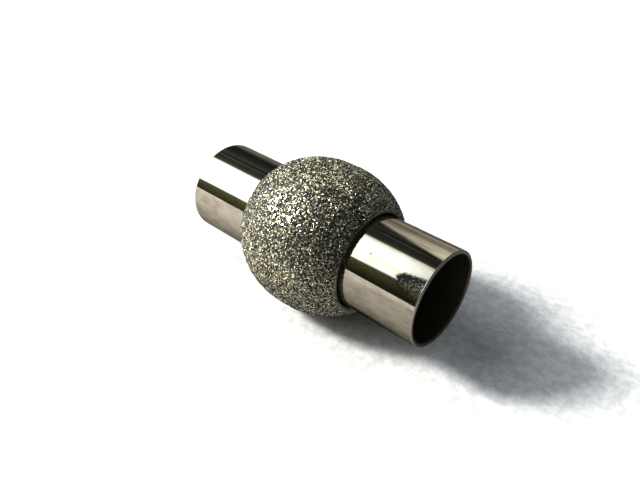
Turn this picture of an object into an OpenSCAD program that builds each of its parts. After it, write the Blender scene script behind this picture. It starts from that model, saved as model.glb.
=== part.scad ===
// Ball-shaped magnetic clasp for a round cord.
// A hollow bead holds one tube fast. The other tube slides out of the bead's
// open end, and a magnet in each tube draws the two halves together.
// The clasp lies along X, with the bead's belt on the surface at Z = 0.

/* [Bead] */
// Diameter of the bead at its belt
bead_d = 11; // [9:0.1:14]
// Length of the bead's rounded form, tip to tip, as if its ends were closed
bead_form_l = 12.2; // [11:0.1:16]
// Length of the straight belt round the middle of the bead
belt_l = 0.7; // [0.2:0.1:3]
// Thickness of the bead's wall
bead_wall = 0.5; // [0.3:0.05:0.7]
// Length of the collar that is turned in from the lip of each opening
collar_l = 1.4; // [0.8:0.1:2]

/* [Tubes] */
// Inside diameter of each tube, which takes the cord
bore_d = 6.2; // [4:0.1:7]
// Thickness of each tube's wall
tube_wall = 0.3; // [0.25:0.05:0.5]
// Length of each tube
tube_l = 10; // [8:0.1:14]
// Rounding of the edges at the mouth of each tube
tube_edge_r = 0.1; // [0.05:0.01:0.12]

/* [Magnets] */
// Thickness of each magnet
magnet_t = 2; // [1:0.1:3]
// Width of the shoulder at the foot of each tube's bore, round its magnet
shoulder = 0.55; // [0.2:0.05:0.8]
// How far each magnet's face stands out of its tube
magnet_proud = 0.05; // [0:0.01:0.2]
// Gap between the faces of the closed magnets
magnet_gap = 0.1; // [0.04:0.02:0.3]

/* [Clearances] */
// Gap between a magnet's side and its tube, filled by glue
glue_gap = 0.05; // [0.02:0.01:0.1]
// Gap between the fixed tube and the bead, filled by solder
seat_gap = 0.02; // [0.01:0.01:0.05]
// Running gap between the free tube and the bead
slide_gap = 0.1; // [0.05:0.01:0.15]

/* [Hidden] */

// Colours of the blasted bead, the polished tubes and the plated magnets
blasted_steel = [0.55, 0.54, 0.49];
polished_steel = [0.78, 0.76, 0.71];
nickel_plate = [0.70, 0.69, 0.66];

// Sides of a full turn, steps along each rounded end of the bead, and steps
// round the lip of an opening
turn_fn = 96;
end_steps = 9;
lip_steps = 6;

tube_r = bore_d / 2 + tube_wall;
tube_start = magnet_gap / 2 + magnet_proud;
seat_r = bore_d / 2 - shoulder;
seat_l = magnet_t - magnet_proud;
magnet_r = seat_r - glue_gap;

// The bead's outer face keeps half a wall from the middle line of its wall,
// which is a quarter of an ellipse on each side of the belt.
half_wall = bead_wall / 2;
mid_r = bead_d / 2 - half_wall;
mid_l = (bead_form_l - belt_l) / 2 - half_wall;
inner_r = mid_r - half_wall;
inner_l = mid_l - half_wall;

// Outward angle of the wall where its middle line has turned by the angle t
function wall_angle(t) = atan2(mid_r * sin(t), mid_l * cos(t));

// Points at a distance from a centre, in equal steps between two angles
function arc(centre, radius, from, to, steps) = [
    for (i = [0:steps])
        let (a = from + (to - from) * i / steps)
        centre + radius * [cos(a), sin(a)]
];

// Outer face from the belt to the angle t_end, as [radius, place past the belt]
function outer_face(t_end) = [
    for (i = [0:end_steps])
        let (t = t_end * i / end_steps, a = wall_angle(t))
        [mid_r * cos(t), mid_l * sin(t)] + half_wall * [cos(a), sin(a)]
];

// Inner face from the angle t_end back to the belt
function inner_face(t_end) = [
    for (i = [end_steps:-1:0])
        let (t = t_end * i / end_steps)
        [inner_r * cos(t), inner_l * sin(t)]
];

// Section of one rounded end with an opening of radius hole_r: the outer face,
// the lip, the turned-in collar and the inner face
function end_section(hole_r) =
    let (
        t_lip = acos((hole_r + half_wall) / mid_r),
        t_collar = acos((hole_r + bead_wall) / inner_r),
        lip_place = mid_l * sin(t_lip)
    )
    concat(
        outer_face(t_lip),
        arc([hole_r + half_wall, lip_place], half_wall, wall_angle(t_lip), 180, lip_steps),
        [
            [hole_r, lip_place - collar_l],
            [hole_r + bead_wall, lip_place - collar_l]
        ],
        inner_face(t_collar)
    );

// The section placed past its edge of the belt, on the side given by 1 or -1
function placed(section, side) = [for (p = section) [p.x, side * (p.y + belt_l / 2)]];

// The points of a section in the opposite order
function reversed(points) = [for (i = [len(points) - 1:-1:0]) points[i]];

// Turns a section round the clasp's axis. Its second coordinate runs along X,
// towards the free tube for side 1 and the fixed tube for side -1.
module turned(side = 1) {
    translate([0, 0, bead_d / 2])
        rotate([0, side * 90, 0])
            rotate_extrude($fn = turn_fn)
                children();
}

// Wall of a tube from its inner end at 0 to its mouth, with rounded edges at
// the mouth and a narrower seat for the magnet at the inner end
module tube_section() {
    inner_edge = bore_d / 2 + tube_edge_r;
    outer_edge = tube_r - tube_edge_r;
    translate([seat_r, 0])
        square([tube_r - seat_r, seat_l]);
    translate([bore_d / 2, seat_l])
        square([tube_wall, tube_l - tube_edge_r - seat_l]);
    translate([inner_edge, seat_l])
        square([outer_edge - inner_edge, tube_l - seat_l]);
    for (r = [inner_edge, outer_edge])
        translate([r, tube_l - tube_edge_r])
            circle(r = tube_edge_r, $fn = 32);
}

// A tube, on the side of the bead given by 1 or -1
module tube(side) {
    color(polished_steel)
        turned(side)
            translate([0, tube_start])
                tube_section();
}

// A magnet, on the side of the bead given by 1 or -1
module magnet(side) {
    color(nickel_plate)
        turned(side)
            translate([0, magnet_gap / 2])
                square([magnet_r, magnet_t]);
}

module bead() {
    free_end = placed(end_section(tube_r + slide_gap), 1);
    fixed_end = placed(end_section(tube_r + seat_gap), -1);
    color(blasted_steel)
        turned()
            polygon(concat(free_end, reversed(fixed_end)));
}

module fixed_tube() {
    tube(-1);
}

module free_tube() {
    tube(1);
}

module fixed_magnet() {
    magnet(-1);
}

module free_magnet() {
    magnet(1);
}

bead();
fixed_tube();
free_tube();
fixed_magnet();
free_magnet();
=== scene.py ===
"""Looks of the magnetic bead clasp.

Dresses its grit-blasted bead, its two polished tubes and its magnets, and sets
the clasp on a pale floor in soft studio light.
"""

import math

import bpy
import numpy as np
from bpy.props import FloatProperty, FloatVectorProperty, IntProperty, PointerProperty
from mathutils import Matrix, Vector
from mathutils.kdtree import KDTree


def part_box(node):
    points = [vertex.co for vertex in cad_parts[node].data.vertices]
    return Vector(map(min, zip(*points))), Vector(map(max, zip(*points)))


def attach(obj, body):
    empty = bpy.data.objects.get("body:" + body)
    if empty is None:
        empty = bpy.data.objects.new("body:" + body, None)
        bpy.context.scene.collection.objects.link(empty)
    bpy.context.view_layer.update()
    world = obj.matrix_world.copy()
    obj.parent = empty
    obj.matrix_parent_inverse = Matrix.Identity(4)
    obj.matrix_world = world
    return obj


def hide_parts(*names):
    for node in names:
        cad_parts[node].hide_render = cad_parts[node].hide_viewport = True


bl_info = {
    "name": "Magnetic bead clasp",
    "version": (1, 0, 0),
    "blender": (4, 5, 0),
    "location": "3D View > Sidebar > Clasp",
    "description": "Dresses a magnetic bead clasp and sets it on a pale floor",
    "category": "Object",
}

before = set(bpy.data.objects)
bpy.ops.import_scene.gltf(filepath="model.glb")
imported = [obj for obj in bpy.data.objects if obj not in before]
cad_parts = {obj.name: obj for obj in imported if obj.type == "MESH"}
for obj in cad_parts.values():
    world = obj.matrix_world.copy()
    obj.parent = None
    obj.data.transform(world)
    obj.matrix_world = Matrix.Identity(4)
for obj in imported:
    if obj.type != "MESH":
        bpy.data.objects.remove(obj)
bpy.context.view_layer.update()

MM = 0.001

bead_lo, bead_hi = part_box("bead")
tube_lo, tube_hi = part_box("free_tube")
BEAD_RADIUS = (bead_hi.z - bead_lo.z) / 2
TUBE_RADIUS = (tube_hi.z - tube_lo.z) / 2
AXIS_HEIGHT = (bead_hi.z + bead_lo.z) / 2
MOUTH_X = tube_hi.x

# The dressed bead stays this far inside the CAD bead, whose round faces are flats
CLEARANCE = 0.008 * MM


class BeadSettings(bpy.types.PropertyGroup):
    """Form and grit of the bead."""

    radius: FloatProperty(
        name="Radius",
        description="Radius of the bead at its belt",
        default=BEAD_RADIUS,
        unit="LENGTH",
    )
    form_length: FloatProperty(
        name="Form length",
        description="Length of the rounded form, tip to tip, as if its ends were closed",
        default=12.2 * MM,
        unit="LENGTH",
    )
    belt: FloatProperty(
        name="Belt",
        description="Length of the straight belt round the middle",
        default=0.7 * MM,
        unit="LENGTH",
    )
    wall: FloatProperty(
        name="Wall",
        description="Thickness of the bead's wall",
        default=0.5 * MM,
        unit="LENGTH",
    )
    collar: FloatProperty(
        name="Collar",
        description="Length of the collar turned in from each opening's lip",
        default=1.4 * MM,
        unit="LENGTH",
    )
    free_opening: FloatProperty(
        name="Free opening",
        description="Radius of the opening that the free tube slides in",
        default=3.5 * MM,
        unit="LENGTH",
    )
    fixed_opening: FloatProperty(
        name="Fixed opening",
        description="Radius of the opening that holds the fixed tube",
        default=3.42 * MM,
        unit="LENGTH",
    )
    lip_grit: FloatProperty(
        name="Grit on the lip",
        description="Outward angle of the lip at which the grit ends, where 90 degrees is its tip",
        default=math.radians(150),
        unit="ROTATION",
    )
    grain: FloatProperty(
        name="Grain",
        description="Distance from one grain of the blasted finish to the next",
        default=0.15 * MM,
        unit="LENGTH",
    )
    grain_depth: FloatProperty(
        name="Grain depth",
        description="Depth between the highest and lowest points of the grains",
        default=0.06 * MM,
        unit="LENGTH",
    )
    grain_tilt: FloatProperty(
        name="Grain tilt",
        description="Slope of the most tilted grains",
        default=0.42,
    )
    columns: IntProperty(
        name="Columns",
        description="Faces round the bead",
        default=500,
        min=32,
    )
    rows: IntProperty(
        name="Rows",
        description="Faces along the blasted surface, from lip to lip",
        default=150,
        min=8,
    )
    seed: IntProperty(
        name="Seed",
        description="Seed of the grains' places and tilts",
        default=7,
    )
    color: FloatVectorProperty(
        name="Colour",
        description="Colour of the blasted steel",
        subtype="COLOR",
        size=3,
        default=(0.325, 0.315, 0.234),
    )


class TubeSettings(bpy.types.PropertyGroup):
    """Finish of the polished tubes."""

    color: FloatVectorProperty(
        name="Colour",
        description="Colour of the polished steel",
        subtype="COLOR",
        size=3,
        default=(0.67, 0.66, 0.55),
    )
    roughness: FloatProperty(
        name="Roughness",
        description="Roughness of the polished steel between its marks",
        default=0.05,
        min=0.0,
        max=1.0,
        subtype="FACTOR",
    )
    bore_color: FloatVectorProperty(
        name="Bore colour",
        description="Colour of the dull skin inside each tube",
        subtype="COLOR",
        size=3,
        default=(0.24, 0.24, 0.18),
    )
    cut_color: FloatVectorProperty(
        name="Cut edge colour",
        description="Colour of the cut edge round each mouth",
        subtype="COLOR",
        size=3,
        default=(0.60, 0.60, 0.55),
    )
    streak: FloatProperty(
        name="Streak width",
        description="Distance between the fine marks that run along each tube",
        default=0.12 * MM,
        unit="LENGTH",
    )
    scuff_length: FloatProperty(
        name="Scuff length",
        description="Length of the dull scuff that runs in from the near mouth",
        default=2.1 * MM,
        unit="LENGTH",
    )


class StageSettings(bpy.types.PropertyGroup):
    """Floor, light and camera."""

    camera_azimuth: FloatProperty(
        name="Camera azimuth",
        description="Turn of the camera about the clasp, from looking along +Y",
        default=math.radians(40.19),
        unit="ROTATION",
    )
    camera_elevation: FloatProperty(
        name="Camera elevation",
        description="Height angle of the camera above the floor",
        default=math.radians(33.59),
        unit="ROTATION",
    )
    camera_distance: FloatProperty(
        name="Camera distance",
        description="Distance from the camera to the middle of the bead",
        default=46.2 * MM,
        unit="LENGTH",
    )
    camera_lean: FloatProperty(
        name="Camera lean",
        description="Angle by which upright lines lean to the right in the picture",
        default=math.radians(3.0),
        unit="ROTATION",
    )
    lens: FloatProperty(
        name="Lens",
        description="Focal length in millimetres",
        default=36.56,
    )
    sun_direction: FloatVectorProperty(
        name="Key light direction",
        description="Direction from the clasp towards the key light",
        size=3,
        default=(-0.667, -0.472, 0.576),
        subtype="DIRECTION",
    )
    sun_strength: FloatProperty(
        name="Key light strength",
        description="Power of the key light on a surface that faces it",
        default=5.5,
    )
    glow_power: FloatProperty(
        name="Glow power",
        description="Power of the wide soft light round the key light, in watts",
        default=25.0,
    )
    fill_power: FloatProperty(
        name="Fill power",
        description="Power of the soft light above the clasp, in watts",
        default=4.9,
    )
    front_power: FloatProperty(
        name="Front power",
        description="Power of the weak soft light on the camera's side, in watts",
        default=2.0,
    )


WHITE = (1.0, 1.0, 1.0)
HALF = (0.5, 0.5, 0.5)

# Places of the sockets of a Mix node that mixes colours
MIX_FACTOR = 0
MIX_FIRST = 6
MIX_SECOND = 7
MIX_RESULT = 2


# Shader helpers


def new_material(name):
    """A material with nothing in it but its shader, and that shader."""
    material = bpy.data.materials.new(name)
    material.use_nodes = True
    nodes = material.node_tree.nodes
    nodes.clear()
    output = nodes.new("ShaderNodeOutputMaterial")
    shader = nodes.new("ShaderNodeBsdfPrincipled")
    material.node_tree.links.new(shader.outputs["BSDF"], output.inputs["Surface"])
    return material, shader


def new_group(name, inputs, outputs):
    """A shader node group, its input values by name and its output node."""
    group = bpy.data.node_groups.new(name, "ShaderNodeTree")
    for label, value in inputs.items():
        socket = group.interface.new_socket(label, in_out="INPUT", socket_type="NodeSocketFloat")
        socket.default_value = value
    for label in outputs:
        kind = "NodeSocketVector" if label == "Normal" else "NodeSocketFloat"
        group.interface.new_socket(label, in_out="OUTPUT", socket_type=kind)
    given = group.nodes.new("NodeGroupInput").outputs
    return group, given, group.nodes.new("NodeGroupOutput")


def connect(tree, source, target):
    """Links an output socket to an input socket, or sets the input to a plain value."""
    if isinstance(source, bpy.types.NodeSocket):
        tree.links.new(source, target)
    else:
        target.default_value = source


def feed(tree, node, **values):
    """Gives a node its inputs, named with _ for each space, from sockets or plain values."""
    for label, value in values.items():
        connect(tree, value, node.inputs[label.replace("_", " ")])


def new_node(tree, kind, **values):
    """Adds a node with these input values and gives its outputs."""
    node = tree.nodes.new(kind)
    feed(tree, node, **values)
    return node.outputs


def place_group(tree, group, **values):
    """Places a node group with these input values and gives its outputs."""
    node = tree.nodes.new("ShaderNodeGroup")
    node.node_tree = group
    feed(tree, node, **values)
    return node.outputs


def math_node(tree, operation, first, second=None, third=None):
    """One sum with sockets or plain numbers."""
    node = tree.nodes.new("ShaderNodeMath")
    node.operation = operation
    for index, value in enumerate((first, second, third)):
        if value is not None:
            connect(tree, value, node.inputs[index])
    return node.outputs["Value"]


def product(tree, first, *others):
    """Sockets or plain numbers multiplied together."""
    for other in others:
        first = math_node(tree, "MULTIPLY", first, other)
    return first


def vector_node(tree, operation, first, second=None, scale=None):
    """One sum with vectors."""
    node = tree.nodes.new("ShaderNodeVectorMath")
    node.operation = operation
    connect(tree, first, node.inputs[0])
    if second is not None:
        connect(tree, second, node.inputs[1])
    if scale is not None:
        connect(tree, scale, node.inputs["Scale"])
    return node.outputs["Value" if operation == "DOT_PRODUCT" else "Vector"]


def map_range(tree, kind, value, low, high, to_low, to_high):
    """Carries a value from one range to another, and holds it past the ends."""
    node = tree.nodes.new("ShaderNodeMapRange")
    node.interpolation_type = kind
    feed(tree, node, Value=value, From_Min=low, From_Max=high, To_Min=to_low, To_Max=to_high)
    return node.outputs["Result"]


def smooth_range(tree, value, low, high, to_low=0.0, to_high=1.0):
    """The same, with a soft start and end."""
    return map_range(tree, "SMOOTHSTEP", value, low, high, to_low, to_high)


def angle_range(tree, angle, low, high, to_low=0.0, to_high=1.0):
    """The soft range for an angle, with its two ends in degrees."""
    return smooth_range(tree, angle, math.radians(low), math.radians(high), to_low, to_high)


def near(tree, value, middle, half_width, fade):
    """1 where a value is within half a width of its middle, fading to 0 past it."""
    offset = math_node(tree, "ABSOLUTE", math_node(tree, "SUBTRACT", value, middle))
    return smooth_range(tree, offset, half_width, half_width + fade, 1.0, 0.0)


def near_angle(tree, angle, middle, half_width, fade):
    """The same for an angle, with its middle, half width and fade in degrees."""
    return near(tree, angle, math.radians(middle), math.radians(half_width), math.radians(fade))


def scaled(color, share):
    """A plain colour made lighter or darker, with no channel past 1."""
    return tuple(min(1.0, channel * share) for channel in color)


def mix_color(tree, factor, first, second, blend="MIX"):
    """Two colours mixed by a factor, where each is a socket or a plain colour."""
    node = tree.nodes.new("ShaderNodeMix")
    node.data_type = "RGBA"
    node.blend_type = blend
    connect(tree, factor, node.inputs[MIX_FACTOR])
    for index, value in ((MIX_FIRST, first), (MIX_SECOND, second)):
        if not isinstance(value, bpy.types.NodeSocket) and len(value) == 3:
            value = (*value, 1.0)
        connect(tree, value, node.inputs[index])
    return node.outputs[MIX_RESULT]


def object_place(tree):
    """Each point's place on its object, in metres."""
    return new_node(tree, "ShaderNodeTexCoord")["Object"]


def split_vector(tree, vector):
    """The X, Y and Z of a vector."""
    return new_node(tree, "ShaderNodeSeparateXYZ", Vector=vector)


def split_color(tree, color):
    """The Red, Green and Blue of a colour."""
    return new_node(tree, "ShaderNodeSeparateColor", Color=color)


def noise(tree, place, scale, detail, roughness=0.5):
    """Soft noise with this many spots to the metre."""
    node = tree.nodes.new("ShaderNodeTexNoise")
    feed(tree, node, Vector=place, Scale=scale, Detail=detail, Roughness=roughness)
    return node.outputs["Fac"]


def cells(tree, place, scale):
    """Small cells, this many to the metre, with a colour and a middle each."""
    return new_node(tree, "ShaderNodeTexVoronoi", Vector=place, Scale=scale)


def relief(tree, height, strength, depth):
    """The normals of a shallow relief."""
    bump = new_node(tree, "ShaderNodeBump", Height=height, Strength=strength, Distance=depth)
    return bump["Normal"]


# Each grain carries finer ones, this many times as close and turned by this
# share as much
FINE_CLOSENESS = 2.1
FINE_TURN = 0.6
# Most bright grains lie flat. The power says how few of them tilt, and the
# spread by how much more.
BRIGHT_POWER = 2.6
BRIGHT_SPREAD = 1.6
# Most dull grains are dark. The power says how few of them are lit.
TONE_POWER = 5.0


def grain_group():
    """Small flat grains that each face their own way, as grit leaves them.

    A share of them is bright and lies flatter than the rest.
    """
    group, given, result = new_group(
        "Blasted Grains",
        {"Grain": 0.1 * MM, "Tilt": 0.9, "Bright Share": 0.23, "Bright Tilt": 0.09},
        ("Normal", "Tone", "Bright"),
    )
    place = object_place(group)
    closeness = math_node(group, "DIVIDE", 1.0, given["Grain"])
    coarse = cells(group, place, closeness)
    fine = cells(group, place, product(group, closeness, FINE_CLOSENESS))
    lot = new_node(group, "ShaderNodeTexWhiteNoise", Vector=coarse["Position"])
    lots = split_color(group, lot["Color"])
    bright = math_node(group, "LESS_THAN", lot["Value"], given["Bright Share"])
    few = math_node(group, "POWER", lots["Green"], BRIGHT_POWER)
    bright_tilt = math_node(group, "MULTIPLY_ADD", few, BRIGHT_SPREAD, given["Bright Tilt"])
    less = math_node(group, "SUBTRACT", bright_tilt, given["Tilt"])
    tilt = math_node(group, "MULTIPLY_ADD", bright, less, given["Tilt"])
    turn = vector_node(group, "SUBTRACT", coarse["Color"], HALF)
    fine_turn = vector_node(group, "SUBTRACT", fine["Color"], HALF)
    fine_turn = vector_node(group, "SCALE", fine_turn, scale=FINE_TURN)
    turn = vector_node(group, "ADD", turn, fine_turn)
    turn = vector_node(group, "SCALE", turn, scale=tilt)
    face = new_node(group, "ShaderNodeNewGeometry")["Normal"]
    normal = vector_node(group, "NORMALIZE", vector_node(group, "ADD", face, turn))
    tone = math_node(group, "POWER", lots["Blue"], TONE_POWER)
    feed(group, result, Normal=normal, Tone=tone, Bright=bright)
    return group


# The marks are noise drawn out along X. They gather in bands, which lie this
# much further apart, and a mark starts and is full at these levels of the noise.
DRAWN_OUT = (0.03, 1.0, 1.0)
BAND_CLOSENESS = 0.35
MARK_START = 0.22
MARK_FULL = 0.42


def streak_group():
    """Fine marks that run along the clasp's axis, in bands round it."""
    group, given, result = new_group("Axial Streaks", {"Width": 0.12 * MM}, ("Marks", "Height"))
    drawn = vector_node(group, "MULTIPLY", object_place(group), DRAWN_OUT)
    closeness = math_node(group, "DIVIDE", 1.0, given["Width"])
    bands = noise(group, drawn, product(group, closeness, BAND_CLOSENESS), 3.0)
    fine = noise(group, drawn, closeness, 2.0)
    marks = smooth_range(group, product(group, bands, fine), MARK_START, MARK_FULL)
    feed(group, result, Marks=marks, Height=fine)
    return group


def axis_place_group():
    """Where a point lies along the clasp's axis, how far from it, and its angle round it.

    The angle runs from straight up towards the front.
    """
    group, given, result = new_group(
        "Place Round Axis", {"Axis Height": AXIS_HEIGHT}, ("Along", "Distance", "Angle")
    )
    place = split_vector(group, object_place(group))
    height = math_node(group, "SUBTRACT", place["Z"], given["Axis Height"])
    front = math_node(group, "MULTIPLY", place["Y"], -1.0)
    square = math_node(group, "MULTIPLY", height, height)
    square = math_node(group, "MULTIPLY_ADD", front, front, square)
    distance = math_node(group, "SQRT", square)
    angle = math_node(group, "ARCTAN2", front, height)
    feed(group, result, Along=place["X"], Distance=distance, Angle=angle)
    return group


def shared_streaks():
    """The streaks' group, built once."""
    return bpy.data.node_groups.get("Axial Streaks") or streak_group()


def shared_axis_place():
    """The group for places round the axis, built once."""
    return bpy.data.node_groups.get("Place Round Axis") or axis_place_group()


# Bead

# Steps round the grit-free part of each lip, and along each inner face
LIP_STEPS = 8
INSIDE_STEPS = 10
# Each grain's middle is moved about by this share of the grain's width, and
# its flat is raised or lowered by up to this share of half the grain depth
GRAIN_SCATTER = 0.3
GRAIN_LIFT = 0.5


def end_profile(settings, opening):
    """Outer face, lip and inside of one end, as (place past the belt, radius)."""
    half = settings.wall / 2
    mid_radius = settings.radius - half
    mid_length = (settings.form_length - settings.belt) / 2 - half
    inner_radius = mid_radius - half
    inner_length = mid_length - half
    lip_turn = math.acos((opening + half) / mid_radius)
    collar_turn = math.acos((opening + settings.wall) / inner_radius)
    lip_place = mid_length * math.sin(lip_turn)

    def wall_angle(turn):
        """Outward angle of the wall where its middle line has turned this far."""
        return math.atan2(mid_radius * math.sin(turn), mid_length * math.cos(turn))

    steps = settings.rows
    outer = []
    for index in range(steps + 1):
        turn = lip_turn * index / steps
        angle = wall_angle(turn)
        place = mid_length * math.sin(turn) + half * math.sin(angle)
        outer.append((place, mid_radius * math.cos(turn) + half * math.cos(angle)))

    def lip_arc(first, last):
        angles = (first + (last - first) * k / LIP_STEPS for k in range(1, LIP_STEPS + 1))
        return [
            (lip_place + half * math.sin(angle), opening + half + half * math.cos(angle))
            for angle in angles
        ]

    outer += lip_arc(wall_angle(lip_turn), settings.lip_grit)
    lip = lip_arc(settings.lip_grit, math.pi)
    collar = [(lip_place - settings.collar * share, opening) for share in (0.25, 0.5, 0.75, 1.0)]
    collar.append((lip_place - settings.collar, opening + settings.wall))
    inside = []
    for index in range(INSIDE_STEPS, -1, -1):
        turn = collar_turn * index / INSIDE_STEPS
        inside.append((inner_length * math.sin(turn), inner_radius * math.cos(turn)))
    return outer, lip + collar, inside


def even_points(points, count):
    """The same line with its points at equal distances along it."""
    line = np.array(points)
    steps = np.hypot(*np.diff(line, axis=0).T)
    along = np.concatenate([[0.0], np.cumsum(steps)])
    wanted = np.linspace(0.0, along[-1], count + 1)
    return np.stack([np.interp(wanted, along, line[:, k]) for k in range(2)], axis=1)


def bead_profile(settings):
    """The blasted line from lip to lip, and the smooth line back through the inside.

    Both are lists of (x, radius).
    """
    free_outer, free_lip, free_inside = end_profile(settings, settings.free_opening)
    fixed_outer, fixed_lip, fixed_inside = end_profile(settings, settings.fixed_opening)
    half_belt = settings.belt / 2
    outer = [(-x - half_belt, r) for x, r in reversed(fixed_outer)]
    outer += [(x + half_belt, r) for x, r in free_outer]
    outer = even_points(outer, settings.rows)
    back = [(x + half_belt, r) for x, r in free_lip + free_inside]
    back += [(-x - half_belt, r) for x, r in reversed(fixed_lip + fixed_inside)]
    return outer, np.array(back)


def grain_heights(points, normals, settings, random):
    """Height of each point on its grain's tilted flat, all below the bead's smooth face."""
    area = 4 * math.pi * settings.radius * settings.radius
    seeds = int(area / (settings.grain * settings.grain))
    picks = random.integers(0, len(points), seeds)
    places = points[picks] + random.normal(0.0, GRAIN_SCATTER * settings.grain, (seeds, 3))
    tree = KDTree(seeds)
    for index, place in enumerate(places):
        tree.insert(place, index)
    tree.balance()
    nearest = np.array([tree.find(point)[1] for point in points])
    tilt = random.uniform(-1.0, 1.0, (seeds, 3)) * settings.grain_tilt
    lift = random.uniform(-0.5, 0.5, seeds) * settings.grain_depth * GRAIN_LIFT
    offset = points - places[nearest]
    offset -= normals * np.sum(offset * normals, axis=1, keepdims=True)
    height = lift[nearest] + np.sum(offset * tilt[nearest], axis=1)
    half = settings.grain_depth / 2
    return np.clip(height, -half, half) - half - CLEARANCE


def bead_faces(grit, total, columns):
    """Triangles between the rings of points, and the material slot of each.

    Each ring is turned half a step from the last. Slot 0 is blasted, 1 is turned.
    """
    faces = []
    slots = []
    for row in range(total):
        blasted = row + 1 < len(grit) and max(grit[row], grit[row + 1]) > 0
        here = row * columns
        there = (row + 1) % total * columns
        for column in range(columns):
            right = (column + 1) % columns
            # Corners a and b lie on this ring, c and d on the next
            a, b = here + column, here + right
            c, d = there + column, there + right
            faces += [(a, c, d), (a, d, b)] if row % 2 else [(a, c, b), (b, c, d)]
        slots += [0 if blasted else 1] * (2 * columns)
    return faces, slots


def bead_mesh(settings):
    """The bead's shell, turned from its profile, with its outer face broken into grains."""
    outer, back = bead_profile(settings)
    columns = settings.columns
    random = np.random.default_rng(settings.seed)
    profile = np.vstack([outer, back])
    tangent = np.gradient(outer, axis=0)
    tangent /= np.linalg.norm(tangent, axis=1, keepdims=True)
    turns = np.arange(columns) * 2 * math.pi / columns
    stagger = (np.arange(len(profile)) % 2) * math.pi / columns
    angles = turns[None, :] + stagger[:, None]
    around = np.stack([np.zeros_like(angles), -np.sin(angles), np.cos(angles)], axis=2)
    points = around * profile[:, 1, None, None]
    points[:, :, 0] = profile[:, 0, None]
    rows = len(outer)
    normals = around[:rows] * tangent[:, 0, None, None]
    normals[:, :, 0] = -tangent[:, 1, None]
    flat_points = points[:rows].reshape(-1, 3)
    flat_normals = normals.reshape(-1, 3)
    height = grain_heights(flat_points, flat_normals, settings, random).reshape(rows, columns)
    # The grains fade out over the last one before each lip
    to_start = np.hypot(*(outer - outer[0]).T)
    to_end = np.hypot(*(outer - outer[-1]).T)
    grit = np.clip(np.minimum(to_start, to_end) / settings.grain, 0.0, 1.0)
    points[:rows] += normals * (height * grit[:, None])[:, :, None]
    points[:, :, 2] += AXIS_HEIGHT
    faces, slots = bead_faces(grit, len(profile), columns)
    mesh = bpy.data.meshes.new("Bead")
    mesh.from_pydata(points.reshape(-1, 3).tolist(), [], faces)
    mesh.polygons.foreach_set("material_index", slots)
    mesh.polygons.foreach_set("use_smooth", [True] * len(faces))
    mesh.update()
    return mesh


# Tones of bright grains, of lit dull grains and of dark ones, as shares of the
# steel's colour
GLINT_TONE = 1.4
LIT_TONE = 2.2
DARK_TONE = 0.02
# Width of the grains that the material draws, as a share of those in the mesh
DRAWN_GRAIN = 0.52
# Round each opening the grit is worn down, most at the first distance from the
# axis and not at all from the second. The worn ring also takes painted shade: it
# is dark on the clasp's front and light elsewhere.
WORN_MOST = 3.70 * MM
WORN_END = 3.98 * MM
WORN_SHARE = 0.75
# Painted shade of the worn ring on the clasp's front
WORN_RING_SHADE = (0.07, 0.07, 0.055)
WORN_LIGHT = (0.185, 0.18, 0.147)


def painted_grit_shade(tree, place, off_front):
    """Painted light and shade over the bead's grit.

    It is darkest on the front, with painted shade most of all in the crease round
    each tube and over the far half's front, and it is painted lighter off the front.
    """
    # Painted shade in the crease round each tube, on the clasp's front only
    deepest = smooth_range(tree, off_front, 0.0, 1.0, 0.7, 1.0)
    crease = smooth_range(tree, place["Distance"], 3.75 * MM, 4.15 * MM, deepest, 1.0)
    # Painted light and shade: a little darker on the front, lighter at the top and foot
    level = smooth_range(tree, off_front, 0.0, 1.0, 0.94, 1.1)
    # Painted shade over the front of the far half
    front = near_angle(tree, place["Angle"], 45, 12, 15)
    far = smooth_range(tree, place["Along"], -3.6 * MM, -0.8 * MM, 0.26, 0.0)
    painted_far_shade = math_node(tree, "SUBTRACT", 1.0, product(tree, front, far))
    return product(tree, crease, level, painted_far_shade)


def blasted_material(settings):
    """Bright and dull grains of blasted steel, worn down round the openings, with painted light
    and shade.
    """
    material, shader = new_material("blasted steel")
    tree = material.node_tree
    grit = place_group(tree, grain_group(), Grain=settings.grain * DRAWN_GRAIN)
    place = place_group(tree, shared_axis_place())
    foot = angle_range(tree, place["Angle"], 60, 95)
    top = angle_range(tree, place["Angle"], -5, 38, 1.0, 0.0)
    off_front = math_node(tree, "ADD", foot, top)
    worn = smooth_range(tree, place["Distance"], WORN_MOST, WORN_END, WORN_SHARE, 0.0)
    bright = product(tree, grit["Bright"], math_node(tree, "SUBTRACT", 1.0, worn))
    dark = scaled(settings.color, DARK_TONE)
    lit = scaled(settings.color, LIT_TONE)
    dull = mix_color(tree, grit["Tone"], dark, lit)
    # Painted shade: the worn ring is darker on the clasp's front
    dull = mix_color(tree, worn, dull, mix_color(tree, off_front, WORN_RING_SHADE, WORN_LIGHT))
    color = mix_color(tree, bright, dull, scaled(settings.color, GLINT_TONE))
    # Painted sheen: the colour is lighter where the bead is seen at a slant, as
    # blasted steel looks when its flat grains hide the pits between them
    facing = new_node(tree, "ShaderNodeLayerWeight")["Facing"]
    sheen = smooth_range(tree, facing, 0.0, 0.4, 0.78, 1.35)
    # The colour is scaled by this painted sheen and by the grit's painted light and shade
    shade = product(tree, sheen, painted_grit_shade(tree, place, off_front))
    color = vector_node(tree, "SCALE", color, scale=shade)
    rough = smooth_range(tree, bright, 0.0, 1.0, 0.6, 0.2)
    normal = grit["Normal"]
    feed(tree, shader, Base_Color=color, Metallic=bright, Roughness=rough, Normal=normal)
    return material


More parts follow.
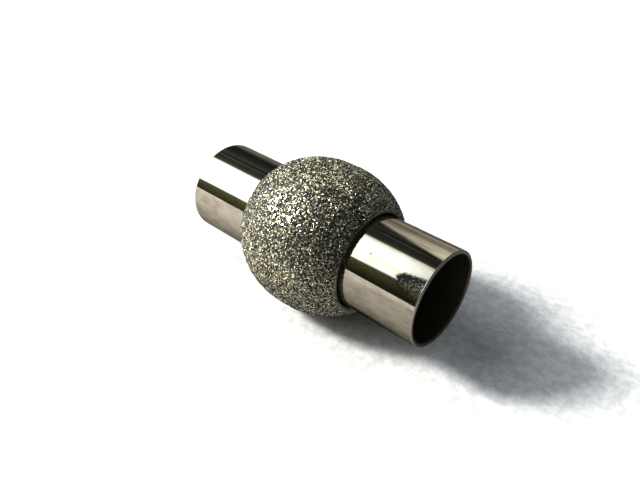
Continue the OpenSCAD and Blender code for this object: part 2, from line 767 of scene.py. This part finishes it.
def lip_material(settings):
    """The turned steel of each lip's edge, of the collars and of the bead's inside."""
    material, shader = new_material("turned steel lip")
    tree = material.node_tree
    marks = place_group(tree, shared_streaks(), Width=0.08 * MM)["Marks"]
    color = mix_color(tree, marks, settings.color, scaled(settings.color, 0.7))
    rough = smooth_range(tree, marks, 0.0, 1.0, 0.4, 0.55)
    feed(tree, shader, Base_Color=color, Metallic=0.15, Roughness=rough)
    return material


class CLASP_OT_bead(bpy.types.Operator):
    """Makes the blasted bead that stands for the plain CAD bead"""

    bl_idname = "clasp.bead"
    bl_label = "Blasted bead"

    def execute(self, context):
        settings = context.scene.clasp_bead
        bead = bpy.data.objects.new("Bead", bead_mesh(settings))
        context.scene.collection.objects.link(bead)
        bead.data.materials.append(blasted_material(settings))
        bead.data.materials.append(lip_material(settings))
        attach(bead, "bead_half")
        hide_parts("bead")
        return {"FINISHED"}


# Tubes and magnets


def dress(node, material):
    """Gives a CAD piece its material."""
    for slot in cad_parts[node].material_slots:
        slot.material = material


# Tone of the marks on the polished steel, and how much rougher they are
MARK_TONE = 0.6
MARK_ROUGH = 2.2
# Spots of the haze on the polished steel, how it is drawn out along X, and its tone
HAZE_SPOT = 0.4 * MM
HAZE_DRAWN_OUT = (0.35, 1.0, 1.0)
HAZE_COLOR = (0.74, 0.735, 0.72)
# Width of the specks in the scuff and in the row of flecks
SPECK = 0.058 * MM

# Light flecks in one row along each tube, by the angle in degrees from straight
# up: the middle of the row on the worn tube and on the other, its half width and
# its fade
FLECKS_WORN = 59.5
FLECKS_PLAIN = 62.5
FLECK_HALF_WIDTH = 4.0
FLECK_FADE = 2.5
FLECK_COLOR = (1.0, 1.0, 0.42)

# Upper and lower edge of the scuff at the near mouth, as the angle in degrees
# from straight up at its tip, a quarter of the way along it and at the mouth
SCUFF_UPPER = (48.5, 42.5, 38.7)
SCUFF_LOWER = (50.5, 58.5, 65.5)
# Its edges fade over this many degrees to each side and waver over this many, and
# the lower one breaks up into specks over this many
SCUFF_FADE = 1.6
SCUFF_WAVER = 5.0
SCUFF_BREAK_UP = 9.0
SCUFF_SPOT = 0.16 * MM
SCUFF_DARK = (0.007, 0.009, 0.010)
SCUFF_TIP_SPECKS = (0.045, 0.045, 0.032)
SCUFF_MOUTH_SPECKS = (0.11, 0.11, 0.07)
WORN_ROUGH = 0.4

# Angles in degrees of the fine lines that lead to the scuff
DRAWN_LINES = (43.6, 45.4, 48.8)
LINE_COLOR = (0.54, 0.535, 0.25)

# One small pit in the near tube
PIT_ALONG = 5.84 * MM
PIT_ANGLE = math.radians(41.7)
PIT_RADIUS = 0.03 * MM

# The cut edge of each mouth starts and is full at these distances from its end
CUT_START = 0.13 * MM
CUT_FULL = 0.08 * MM
CUT_ROUGH = 0.35
# The dull bore starts this far within the tube's outside, and this far out from
# the clasp's middle
BORE_DEPTH = 0.24 * MM
FOOT_END = 1.0 * MM
BORE_ROUGH = 0.5


def polish(tree, settings, coords, angle, marks):
    """Colour and roughness of the polished face, with its fine marks and its haze.

    The marks show on top and behind, faintly in front and not underneath, where
    the haze is strongest.
    """
    under = angle_range(tree, angle, 60, 72)
    over = angle_range(tree, angle, 14, 24, 1.0, 0.12)
    clear = math_node(tree, "MULTIPLY_ADD", under, -0.15, over)
    streaked = product(tree, marks, clear)
    color = mix_color(tree, streaked, settings.color, scaled(settings.color, MARK_TONE))
    drawn = vector_node(tree, "MULTIPLY", coords, HAZE_DRAWN_OUT)
    haze = smooth_range(tree, noise(tree, drawn, 1.0 / HAZE_SPOT, 5.0, 0.7), 0.35, 0.7)
    haze = product(tree, haze, math_node(tree, "MULTIPLY_ADD", under, 0.5, 0.5))
    haze_tone = mix_color(tree, haze, WHITE, HAZE_COLOR)
    color = mix_color(tree, 1.0, color, haze_tone, blend="MULTIPLY")
    smooth = settings.roughness
    return color, smooth_range(tree, marks, 0.0, 1.0, smooth, smooth * MARK_ROUGH)


def side_flecks(tree, outward, angle, speck, middle, color):
    """Adds light flecks in one row along a tube's side, thinner towards its mouth."""
    row = near_angle(tree, angle, middle, FLECK_HALF_WIDTH, FLECK_FADE)
    thinner = smooth_range(tree, outward, 7.0 * MM, 9.0 * MM, 1.0, 0.3)
    picked = smooth_range(tree, speck["Green"], 0.5, 1.0)
    return mix_color(tree, product(tree, row, thinner, picked), color, FLECK_COLOR)


def scuff_edge(tree, reach, angles):
    """An edge that runs through three angles, at 0, a quarter and the whole of the reach."""
    tip, quarter, mouth = (math.radians(angle) for angle in angles)
    first = map_range(tree, "LINEAR", reach, 0.0, 0.25, tip, quarter)
    second = map_range(tree, "LINEAR", reach, 0.25, 1.0, 0.0, mouth - quarter)
    return math_node(tree, "ADD", first, second)


def mouth_scuff(tree, settings, place, ragged, speck):
    """Mask and colour of the dull scuff that widens from its tip to the near mouth."""
    from_tip = math_node(tree, "SUBTRACT", place["Along"], MOUTH_X - settings.scuff_length)
    reach = math_node(tree, "DIVIDE", from_tip, settings.scuff_length)
    waver = math_node(tree, "SUBTRACT", ragged, 0.5)
    angle = math_node(tree, "MULTIPLY_ADD", waver, math.radians(SCUFF_WAVER), place["Angle"])
    below_top = math_node(tree, "SUBTRACT", angle, scuff_edge(tree, reach, SCUFF_UPPER))
    above_foot = math_node(tree, "SUBTRACT", scuff_edge(tree, reach, SCUFF_LOWER), angle)
    scatter = math_node(tree, "SUBTRACT", speck["Blue"], 0.5)
    break_up = math.radians(SCUFF_BREAK_UP)
    above_foot = math_node(tree, "MULTIPLY_ADD", scatter, break_up, above_foot)
    past_tip = math_node(tree, "MULTIPLY_ADD", waver, 0.3, reach)
    mask = product(
        tree,
        angle_range(tree, below_top, -SCUFF_FADE, SCUFF_FADE),
        angle_range(tree, above_foot, -SCUFF_FADE, SCUFF_FADE),
        smooth_range(tree, past_tip, -0.04, 0.06),
    )
    # Light specks are few at the upper edge and more towards the foot and the mouth
    level = angle_range(tree, below_top, 0.0, 16.0, 0.97, 0.4)
    level = math_node(tree, "MULTIPLY_ADD", reach, -0.25, level)
    lit = smooth_range(tree, math_node(tree, "SUBTRACT", speck["Red"], level), 0.0, 0.5)
    specks = mix_color(tree, reach, SCUFF_TIP_SPECKS, SCUFF_MOUTH_SPECKS)
    return mask, mix_color(tree, lit, SCUFF_DARK, specks)


def drawn_lines(tree, place, ragged):
    """Mask of the fine broken lines that lead to the scuff."""
    lines = 0.0
    for degrees in DRAWN_LINES:
        line = near_angle(tree, place["Angle"], degrees, 0.15, 0.4)
        lines = math_node(tree, "MAXIMUM", lines, line)
    stronger = smooth_range(tree, place["Along"], 4.8 * MM, 6.8 * MM, 0.3, 1.0)
    broken = smooth_range(tree, ragged, 0.3, 0.5)
    return product(tree, lines, stronger, broken)


def small_pit(tree, place):
    """Mask of one small round pit."""
    turn = PIT_RADIUS / TUBE_RADIUS
    along = near(tree, place["Along"], PIT_ALONG, PIT_RADIUS, PIT_RADIUS)
    return product(tree, along, near(tree, place["Angle"], PIT_ANGLE, turn, turn))


def mouth_wear(tree, settings, coords, place, speck, color, rough):
    """Adds the scuff at the near mouth, the drawn lines that lead to it and one pit."""
    ragged = noise(tree, coords, 1.0 / SCUFF_SPOT, 3.0, 0.7)
    color = mix_color(tree, drawn_lines(tree, place, ragged), color, LINE_COLOR)
    scuff, scuff_color = mouth_scuff(tree, settings, place, ragged, speck)
    wear = math_node(tree, "MAXIMUM", scuff, small_pit(tree, place))
    color = mix_color(tree, wear, color, scuff_color)
    return color, smooth_range(tree, wear, 0.6, 1.0, rough, WORN_ROUGH)


def tube_material(name, settings, worn):
    """Polished steel with a cut edge round the mouth and a dull bore."""
    material, shader = new_material(name)
    tree = material.node_tree
    coords = object_place(tree)
    place = place_group(tree, shared_axis_place())
    streaks = place_group(tree, shared_streaks(), Width=settings.streak)
    color, rough = polish(tree, settings, coords, place["Angle"], streaks["Marks"])
    speck = split_color(tree, cells(tree, coords, 1.0 / SPECK)["Color"])
    outward = math_node(tree, "ABSOLUTE", place["Along"])
    middle = FLECKS_WORN if worn else FLECKS_PLAIN
    color = side_flecks(tree, outward, place["Angle"], speck, middle, color)
    if worn:
        color, rough = mouth_wear(tree, settings, coords, place, speck, color, rough)
    cut = smooth_range(tree, outward, MOUTH_X - CUT_START, MOUTH_X - CUT_FULL)
    color = mix_color(tree, cut, color, settings.cut_color)
    rough = smooth_range(tree, cut, 0.0, 1.0, rough, CUT_ROUGH)
    inside = math_node(tree, "LESS_THAN", place["Distance"], TUBE_RADIUS - BORE_DEPTH)
    past_foot = math_node(tree, "GREATER_THAN", outward, FOOT_END)
    bore = product(tree, inside, past_foot)
    color = mix_color(tree, bore, color, settings.bore_color)
    rough = smooth_range(tree, bore, 0.0, 1.0, rough, BORE_ROUGH)
    normal = relief(tree, streaks["Height"], 0.25, 0.002 * MM)
    feed(tree, shader, Base_Color=color, Metallic=1.0, Roughness=rough, Normal=normal)
    shader.inputs["Specular Tint"].default_value = (0.55, 0.55, 0.53, 1.0)
    return material


class CLASP_OT_tubes(bpy.types.Operator):
    """Gives both cord tubes their polished steel"""

    bl_idname = "clasp.tubes"
    bl_label = "Polished tubes"

    def execute(self, context):
        settings = context.scene.clasp_tubes
        dress("free_tube", tube_material("polished steel, worn mouth", settings, True))
        dress("fixed_tube", tube_material("polished steel", settings, False))
        return {"FINISHED"}


# Radius over which the wave of the turned rings moves on by one radian, and the
# spots and tones of the plating
RING_STEP = 0.09 * MM
PLATE_SPOT = 0.8 * MM
PLATE_DARK = (0.58, 0.56, 0.52)
PLATE_LIGHT = (0.72, 0.70, 0.66)


def magnet_material():
    """Nickel plate, a little cloudy, over fine turned rings."""
    material, shader = new_material("nickel plate")
    tree = material.node_tree
    cloud = noise(tree, object_place(tree), 1.0 / PLATE_SPOT, 4.0)
    color = mix_color(tree, cloud, PLATE_DARK, PLATE_LIGHT)
    rough = smooth_range(tree, cloud, 0.3, 0.7, 0.12, 0.26)
    place = place_group(tree, shared_axis_place())
    wave = math_node(tree, "SINE", product(tree, place["Distance"], 1.0 / RING_STEP))
    rings = math_node(tree, "MULTIPLY_ADD", wave, 0.5, 0.5)
    normal = relief(tree, rings, 0.4, 0.004 * MM)
    feed(tree, shader, Base_Color=color, Metallic=1.0, Roughness=rough, Normal=normal)
    return material


class CLASP_OT_magnets(bpy.types.Operator):
    """Gives both magnets their nickel plate"""

    bl_idname = "clasp.magnets"
    bl_label = "Plated magnets"

    def execute(self, context):
        material = magnet_material()
        dress("fixed_magnet", material)
        dress("free_magnet", material)
        return {"FINISHED"}


# Stage

FLOOR_RADIUS = 0.6
FLOOR_SIDES = 96
# Spots of the floor's fibres, and the tones that the camera sees in them
FIBRE_SPOT = 0.7 * MM
FLOOR_DARK = (0.59, 0.59, 0.59)
FLOOR_LIGHT = (0.72, 0.72, 0.72)
# Tones of the floor that the steel mirrors, before the clasp and behind it
MIRRORED_FRONT = (0.43, 0.388, 0.39)
MIRRORED_BACK = (0.205, 0.197, 0.192)
# Tone of the floor for the light that it throws back
FLOOR_BOUNCE = (0.62, 0.64, 0.69)


def floor_material():
    """A pale fibrous floor, which the steel mirrors in tones of its own."""
    material, shader = new_material("pale floor")
    tree = material.node_tree
    coords = object_place(tree)
    fibre = noise(tree, coords, 1.0 / FIBRE_SPOT, 5.0, 0.65)
    mottle = smooth_range(tree, fibre, 0.36, 0.64)
    pale = mix_color(tree, mottle, FLOOR_DARK, FLOOR_LIGHT)
    place = split_vector(tree, coords)
    behind = smooth_range(tree, place["Y"], -13 * MM, 6 * MM)
    mirrored = mix_color(tree, behind, MIRRORED_FRONT, MIRRORED_BACK)
    aside = smooth_range(tree, place["X"], -14 * MM, -2 * MM, 1.3, 0.88)
    mirrored = vector_node(tree, "SCALE", mirrored, scale=aside)
    ray = new_node(tree, "ShaderNodeLightPath")
    color = mix_color(tree, ray["Is Diffuse Ray"], mirrored, FLOOR_BOUNCE)
    color = mix_color(tree, ray["Is Camera Ray"], color, pale)
    normal = relief(tree, fibre, 0.3, 0.05 * MM)
    feed(tree, shader, Base_Color=color, Roughness=0.9, Specular_IOR_Level=0.1, Normal=normal)
    return material


def make_floor(scene):
    """A wide flat disc under the clasp."""
    turns = [2 * math.pi * side / FLOOR_SIDES for side in range(FLOOR_SIDES)]
    ring = [(FLOOR_RADIUS * math.cos(turn), FLOOR_RADIUS * math.sin(turn), 0.0) for turn in turns]
    mesh = bpy.data.meshes.new("Floor")
    mesh.from_pydata(ring, [], [tuple(range(FLOOR_SIDES))])
    mesh.materials.append(floor_material())
    floor = bpy.data.objects.new("Floor", mesh)
    scene.collection.objects.link(floor)


# Brightness of the studio that the steel mirrors, by the angle about the
# clasp's axis from straight up towards the front: (degrees, brightness, warmth).
# The two lists meet in a nearly upright plane through the clasp. The first lies
# left of it in the picture, and the second lies right of it.
LEFT_BANDS = (
    (-180, 0.32, 0.0),
    (-92, 0.36, 0.0),
    (-84, 0.28, 0.0),
    (-74, 0.09, 0.0),
    (-66, 0.04, 0.0),
    (-45, 0.045, 0.0),
    (-33, 0.11, 0.0),
    (-29, 0.045, 0.0),
    (-25, 0.045, 0.0),
    (-22, 0.17, 0.0),
    (-19, 0.06, 0.0),
    (-7, 0.085, 0.0),
    (-2, 0.16, 0.0),
    (0.5, 1.25, 0.0),
    (5, 1.50, 0.0),
    (9, 1.75, -0.15),
    (55, 1.75, -0.15),
    (57, 0.155, 0.35),
    (70, 0.10, 0.35),
    (86, 0.04, 0.35),
    (91, 0.14, 0.10),
    (96, 0.36, 0.0),
    (180, 0.32, 0.0),
)
RIGHT_BANDS = (
    (-180, 0.32, 0.0),
    (-92, 0.76, 0.14),
    (-84, 0.73, 0.14),
    (-74, 0.33, 0.14),
    (-64, 0.60, 0.10),
    (-40, 0.86, 0.10),
    (-20, 0.30, 0.05),
    (0, 0.20, 0.0),
    (90, 0.15, 0.0),
    (96, 0.32, 0.0),
    (180, 0.32, 0.0),
)
# Normal of the plane in which the two lists meet, and half the width of their blend
MEETING_PLANE = (0.863, 0.484, 0.1415)
MEETING_BLEND = 0.02
# On the lower front the bands lean: they are read further round by the shift in
# radians, and by the slope times the direction's X
LOW_SLOPE = 0.65
LOW_SHIFT = 0.27
# Tint of the second list, and of the first where the near mouth mirrors it
RIGHT_TINT = (1.0, 0.95, 0.98)
MOUTH_TINT = (0.50, 0.463, 0.405)
# Brightness on the free tube's side, past what the tubes mirror to the camera
SIDE_BRIGHTNESS = 0.15
# Brightness that 1 stands for in the bands' colour ramps
RAMP_PEAK = 2.5


def band_ramp(tree, factor, bands):
    """A colour ramp with one stop for each row of a list."""
    ramp = tree.nodes.new("ShaderNodeValToRGB")
    feed(tree, ramp, Fac=factor)
    stops = ramp.color_ramp
    while len(stops.elements) > 1:
        stops.elements.remove(stops.elements[-1])
    for index, (angle, brightness, warmth) in enumerate(bands):
        spot = (angle + 180) / 360
        stop = stops.elements[0] if index == 0 else stops.elements.new(spot)
        stop.position = spot
        level = brightness / RAMP_PEAK
        stop.color = (level, level * (1 - 0.2 * warmth), level * (1 - warmth), 1.0)
    return ramp.outputs["Color"]


def studio_color(tree, direction):
    """The studio's colour in each direction, as a share of the ramps' peak.

    The direction's X says which part of the clasp mirrors it to the camera:
    about -0.65 on the far tube, and from -0.46 to -0.36 out along the near one.
    """
    towards = split_vector(tree, direction)
    front = math_node(tree, "MULTIPLY", towards["Y"], -1.0)
    angle = math_node(tree, "ARCTAN2", front, towards["Z"])
    low = angle_range(tree, angle, 20, 50)
    slant = math_node(tree, "MULTIPLY_ADD", towards["X"], LOW_SLOPE, LOW_SHIFT)
    angle = math_node(tree, "MULTIPLY_ADD", low, slant, angle)
    turn = math_node(tree, "MULTIPLY_ADD", angle, 1 / (2 * math.pi), 0.5)
    near_mouth = smooth_range(tree, towards["X"], -0.44, -0.34)
    far_tube = smooth_range(tree, towards["X"], -0.62, -0.50, 1.4, 1.0)
    left = band_ramp(tree, turn, LEFT_BANDS)
    left = mix_color(tree, near_mouth, left, MOUTH_TINT, blend="MULTIPLY")
    left = vector_node(tree, "SCALE", left, scale=far_tube)
    outer_end = smooth_range(tree, towards["X"], -0.47, -0.36, 0.92, 1.3)
    right = band_ramp(tree, turn, RIGHT_BANDS)
    right = vector_node(tree, "MULTIPLY", right, RIGHT_TINT)
    right = vector_node(tree, "SCALE", right, scale=outer_end)
    across = vector_node(tree, "DOT_PRODUCT", direction, MEETING_PLANE)
    past = smooth_range(tree, across, -MEETING_BLEND, MEETING_BLEND)
    bands = mix_color(tree, past, left, right)
    sideways = smooth_range(tree, towards["X"], -0.34, -0.05)
    dim = SIDE_BRIGHTNESS / RAMP_PEAK
    return mix_color(tree, sideways, bands, (dim, dim, dim))


def make_surround(scene):
    """The studio that the steel mirrors. The camera sees plain white past the floor."""
    world = bpy.data.worlds.new("Studio")
    world.use_nodes = True
    scene.world = world
    tree = world.node_tree
    tree.nodes.clear()
    output = tree.nodes.new("ShaderNodeOutputWorld")
    bands = studio_color(tree, new_node(tree, "ShaderNodeTexCoord")["Generated"])
    studio = new_node(tree, "ShaderNodeBackground", Color=bands, Strength=RAMP_PEAK)
    plain = new_node(tree, "ShaderNodeBackground", Color=(*WHITE, 1.0))
    ray = new_node(tree, "ShaderNodeLightPath")
    mix = tree.nodes.new("ShaderNodeMixShader")
    feed(tree, mix, Fac=ray["Is Camera Ray"])
    tree.links.new(studio["Background"], mix.inputs[1])
    tree.links.new(plain["Background"], mix.inputs[2])
    feed(tree, output, Surface=mix.outputs["Shader"])
    world.cycles_visibility.diffuse = False


# The key light: how wide it looks from the clasp, its tone, and the distance at
# which its holder stands
KEY_WIDTH = math.radians(12.5)
KEY_COLOR = (1.0, 0.985, 0.925)
KEY_DISTANCE = 0.3
# Tone, width and place of each soft light, where the glow's place is its distance
# towards the key light
GLOW_DISTANCE = 1.4
GLOW = ((0.94, 0.985, 1.05), 1.65)
FILL = ((0.82, 0.93, 1.0), 1.6, (0.48, 0.32, 1.12))
FRONT = ((1.0, 0.97, 0.88), 1.2, (0.55, -0.85, 0.45))


def place_light(scene, light, place):
    """Puts a light at its place, turned towards the clasp."""
    holder = bpy.data.objects.new(light.name, light)
    holder.location = place
    holder.rotation_mode = "QUATERNION"
    holder.rotation_quaternion = Vector(place).to_track_quat("Z", "Y")
    scene.collection.objects.link(holder)
    return holder


def soft_light(scene, name, power, color, width, place):
    """A round soft light, which the steel doesn't mirror."""
    light = bpy.data.lights.new(name, "AREA")
    light.shape = "DISK"
    light.size = width
    light.energy = power
    light.color = color
    place_light(scene, light, place).visible_glossy = False


def make_lights(scene, settings):
    """The key light, the wide glow round it, and weak soft lights above and in front."""
    towards = Vector(settings.sun_direction).normalized()
    key = bpy.data.lights.new("Key light", "SUN")
    key.energy = settings.sun_strength
    key.angle = KEY_WIDTH
    key.color = KEY_COLOR
    place_light(scene, key, towards * KEY_DISTANCE)
    around = towards * GLOW_DISTANCE
    soft_light(scene, "Glow round the key", settings.glow_power, *GLOW, around)
    soft_light(scene, "Soft fill", settings.fill_power, *FILL)
    soft_light(scene, "Front fill", settings.front_power, *FRONT)


# The bead's middle lands this far right of and above the picture's centre,
# in pixels of the 640 by 480 picture
AIM_RIGHT = 3.2
AIM_UP = 3.9
PICTURE_WIDTH = 640
SENSOR_WIDTH = 36.0
# Gamma of the view, which deepens its tones to the photo's
VIEW_GAMMA = 0.75


def make_camera(scene, settings):
    """The camera, aimed so that the bead lands where the photo has it."""
    azimuth = settings.camera_azimuth
    elevation = settings.camera_elevation
    flat = math.cos(elevation)
    away = Vector((math.sin(azimuth) * flat, -math.cos(azimuth) * flat, math.sin(elevation)))
    middle = Vector((0.0, 0.0, AXIS_HEIGHT))
    level = Vector((0.0, 0.0, 1.0)).cross(away).normalized()
    upright = away.cross(level)
    lean = settings.camera_lean
    right = level * math.cos(lean) + upright * math.sin(lean)
    up = upright * math.cos(lean) - level * math.sin(lean)
    focal_pixels = settings.lens / SENSOR_WIDTH * PICTURE_WIDTH
    forward = -away - right * (AIM_RIGHT / focal_pixels) - up * (AIM_UP / focal_pixels)
    forward.normalize()
    right = (right - forward * right.dot(forward)).normalized()
    up = right.cross(forward)
    camera = bpy.data.cameras.new("Camera")
    camera.lens = settings.lens
    camera.sensor_width = SENSOR_WIDTH
    camera.clip_start = 1 * MM
    camera.clip_end = 5.0
    holder = bpy.data.objects.new("Camera", camera)
    turned = Matrix((right, up, -forward)).transposed().to_4x4()
    holder.matrix_world = Matrix.Translation(middle + away * settings.camera_distance) @ turned
    scene.collection.objects.link(holder)
    scene.camera = holder


class CLASP_OT_stage(bpy.types.Operator):
    """Makes the floor, the studio's light and the camera"""

    bl_idname = "clasp.stage"
    bl_label = "Floor, light and camera"

    def execute(self, context):
        scene = context.scene
        settings = scene.clasp_stage
        make_floor(scene)
        make_surround(scene)
        make_lights(scene, settings)
        make_camera(scene, settings)
        scene.view_settings.view_transform = "Standard"
        scene.view_settings.gamma = VIEW_GAMMA
        return {"FINISHED"}


class CLASP_PT_panel(bpy.types.Panel):
    """Sizes, colours and steps of the clasp"""

    bl_idname = "CLASP_PT_panel"
    bl_label = "Magnetic clasp"
    bl_space_type = "VIEW_3D"
    bl_region_type = "UI"
    bl_category = "Clasp"

    def draw(self, context):
        layout = self.layout
        scene = context.scene
        for settings, steps in (
            (scene.clasp_bead, (CLASP_OT_bead,)),
            (scene.clasp_tubes, (CLASP_OT_tubes, CLASP_OT_magnets)),
            (scene.clasp_stage, (CLASP_OT_stage,)),
        ):
            box = layout.box()
            for name in settings.__annotations__:
                box.prop(settings, name)
            for step in steps:
                box.operator(step.bl_idname)


SETTINGS = (
    ("clasp_bead", BeadSettings),
    ("clasp_tubes", TubeSettings),
    ("clasp_stage", StageSettings),
)
CLASSES = (
    BeadSettings,
    TubeSettings,
    StageSettings,
    CLASP_OT_bead,
    CLASP_OT_tubes,
    CLASP_OT_magnets,
    CLASP_OT_stage,
    CLASP_PT_panel,
)


def register():
    for cls in CLASSES:
        bpy.utils.register_class(cls)
    for name, kind in SETTINGS:
        setattr(bpy.types.Scene, name, PointerProperty(type=kind))


def unregister():
    for name, _ in SETTINGS:
        delattr(bpy.types.Scene, name)
    for cls in reversed(CLASSES):
        bpy.utils.unregister_class(cls)


def main():
    register()
    bpy.ops.clasp.bead()
    bpy.ops.clasp.tubes()
    bpy.ops.clasp.magnets()
    bpy.ops.clasp.stage()


if __name__ == "__main__":
    main()
